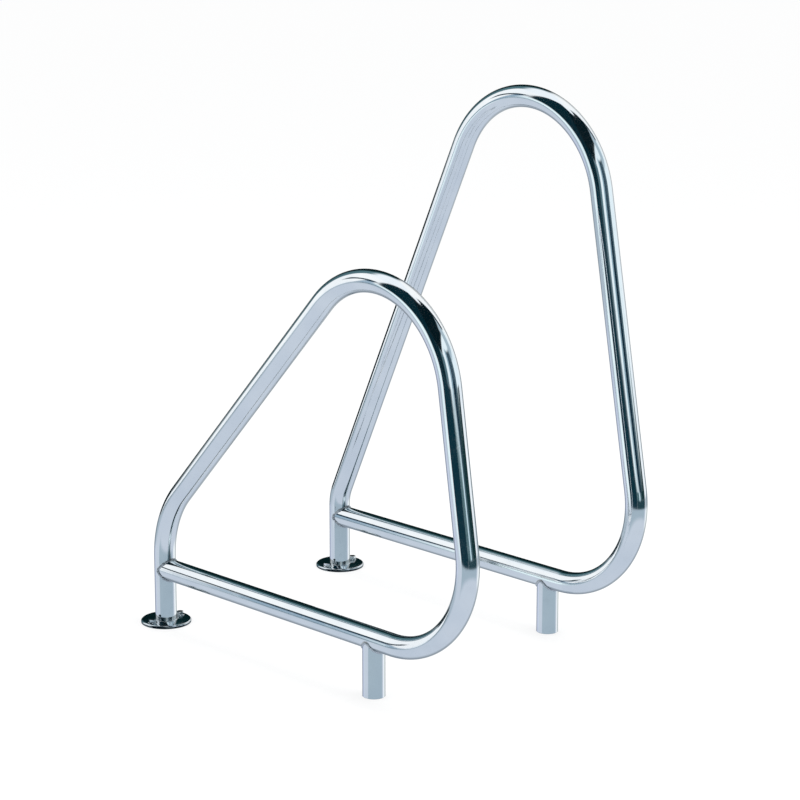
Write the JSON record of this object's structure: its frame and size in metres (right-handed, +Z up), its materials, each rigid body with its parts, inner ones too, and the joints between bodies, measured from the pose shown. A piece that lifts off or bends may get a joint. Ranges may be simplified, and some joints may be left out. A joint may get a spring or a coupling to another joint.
{
  "type": "pool handrail",
  "caption": "Matched low and high pool handrail, each a bent polished tube loop with a bolted flange leg and a short stub leg.",
  "frame": {"origin": "on the deck under the low rail's flanged leg, at the centre of the flange's underside", "axes": "+X along each rail from its flanged leg to its stub leg, +Y across the walkway from the low rail to the high rail, +Z up"},
  "size_m": [0.937, 0.6, 1.1214],
  "materials": {
    "polished_tube": "polished",
    "polished_flange": "polished",
    "weld_bead": "satin",
    "screw_steel": "satin"
  },
  "bodies": {
    "root": {"low_rail_tube": "polished_tube", "low_stub_leg": "polished_tube", "low_base_flange": "polished_flange", "low_bar_weld": "weld_bead", "low_stub_weld": "weld_bead", "low_flange_weld": "weld_bead", "low_flange_screws": "screw_steel", "low_flange_washers": "screw_steel", "high_rail_tube": "polished_tube", "high_stub_leg": "polished_tube", "high_base_flange": "polished_flange", "high_bar_weld": "weld_bead", "high_stub_weld": "weld_bead", "high_flange_weld": "weld_bead", "high_flange_screws": "screw_steel", "high_flange_washers": "screw_steel"}
  },
  "joints": []
}
